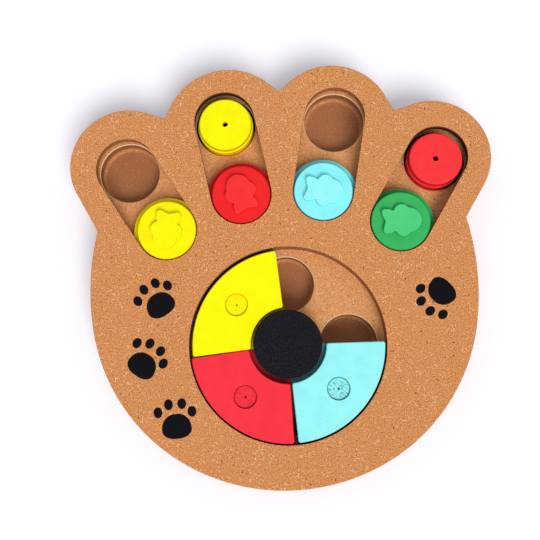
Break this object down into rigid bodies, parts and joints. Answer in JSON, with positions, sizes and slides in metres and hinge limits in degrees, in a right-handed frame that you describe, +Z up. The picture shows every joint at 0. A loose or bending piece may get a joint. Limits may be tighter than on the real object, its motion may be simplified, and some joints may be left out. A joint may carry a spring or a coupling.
{
  "type": "dog puzzle feeder toy",
  "caption": "Paw-shaped treat puzzle board with sliding fish discs in slots, lift-off cups over treat holes and a turning sector wheel over treat pockets.",
  "frame": {"origin": "on the wheel axis, at the underside of the board", "axes": "+Y from the pad towards the toes, +Z up out of the board's top face, +X to the right seen from above with the toes up"},
  "size_m": [0.2392, 0.2373, 0.0276],
  "materials": {
    "board": "matt raw fibreboard",
    "yellow_paint": "satin paint on fibreboard",
    "red_paint": "satin paint on fibreboard",
    "cyan_paint": "satin paint on fibreboard",
    "green_paint": "satin paint on fibreboard",
    "light_green_paint": "satin paint on fibreboard",
    "black_paint": "matt black paint on fibreboard",
    "dowel": "raw hardwood"
  },
  "bodies": {
    "board": {"board_floor": "board", "board_pockets_toe_1": "board", "board_pockets_toe_2": "board", "board_pockets_toe_3": "board", "board_pockets_toe_4": "board", "board_pockets_east": "board", "board_pockets_north": "board", "board_pockets_west": "board", "board_pockets_south": "board", "board_guides": "board", "board_top": "board", "wheel_hub": "board", "wheel_cap": "black_paint", "cap_dowel": "dowel"},
    "slider_1": {"slider_flange_1": "yellow_paint"},
    "slider_top_1": {"slider_disc_1": "yellow_paint", "slider_fish_1": "yellow_paint"},
    "slider_2": {"slider_flange_2": "red_paint"},
    "slider_top_2": {"slider_disc_2": "red_paint", "slider_fish_2": "red_paint"},
    "slider_3": {"slider_flange_3": "cyan_paint"},
    "slider_top_3": {"slider_disc_3": "cyan_paint", "slider_fish_3": "cyan_paint"},
    "slider_4": {"slider_flange_4": "green_paint"},
    "slider_top_4": {"slider_disc_4": "green_paint", "slider_fish_4": "light_green_paint"},
    "cup_2": {"cup_2": "yellow_paint"},
    "cup_4": {"cup_4": "red_paint"},
    "sector_yellow_body": {"sector_yellow": "yellow_paint"},
    "sector_red_body": {"sector_red": "red_paint"},
    "sector_cyan_body": {"sector_cyan": "cyan_paint"}
  },
  "joints": [
    {"name": "slider_1_slide", "type": "slide", "parent": "board", "child": "slider_1", "axis": [-0.5271, 0.8498, 0], "range_m": [0, 0.043]},
    {"name": "slider_1_turn", "type": "hinge", "parent": "slider_1", "child": "slider_top_1", "pos_m": [-0.0657, 0.0664, 0.0194], "axis": [0, 0, 1], "continuous": true},
    {"name": "slider_2_slide", "type": "slide", "parent": "board", "child": "slider_2", "axis": [-0.1909, 0.9816, 0], "range_m": [0, 0.007]},
    {"name": "slider_2_turn", "type": "hinge", "parent": "slider_2", "child": "slider_top_2", "pos_m": [-0.0232, 0.0853, 0.0194], "axis": [0, 0, 1], "continuous": true},
    {"name": "slider_3_slide", "type": "slide", "parent": "board", "child": "slider_3", "axis": [0.1909, 0.9816, 0], "range_m": [0, 0.0439]},
    {"name": "slider_3_turn", "type": "hinge", "parent": "slider_3", "child": "slider_top_3", "pos_m": [0.0232, 0.0853, 0.0194], "axis": [0, 0, 1], "continuous": true},
    {"name": "slider_4_slide", "type": "slide", "parent": "board", "child": "slider_4", "axis": [0.5271, 0.8498, 0], "range_m": [0, 0.0061]},
    {"name": "slider_4_turn", "type": "hinge", "parent": "slider_4", "child": "slider_top_4", "pos_m": [0.0657, 0.0664, 0.0194], "axis": [0, 0, 1], "continuous": true},
    {"name": "cup_2_lift", "type": "slide", "parent": "board", "child": "cup_2", "axis": [0, 0, 1], "range_m": [0, 0.045]},
    {"name": "cup_4_lift", "type": "slide", "parent": "board", "child": "cup_4", "axis": [0, 0, 1], "range_m": [0, 0.045]},
    {"name": "sector_yellow_turn", "type": "hinge", "parent": "board", "child": "sector_yellow_body", "pos_m": [0, 0, 0.014], "axis": [0, 0, 1], "continuous": true},
    {"name": "sector_red_turn", "type": "hinge", "parent": "sector_yellow_body", "child": "sector_red_body", "pos_m": [0, 0, 0.014], "axis": [0, 0, 1], "range_deg": [0, 47]},
    {"name": "sector_cyan_turn", "type": "hinge", "parent": "sector_red_body", "child": "sector_cyan_body", "pos_m": [0, 0, 0.014], "axis": [0, 0, 1], "range_deg": [0, 47]}
  ]
}
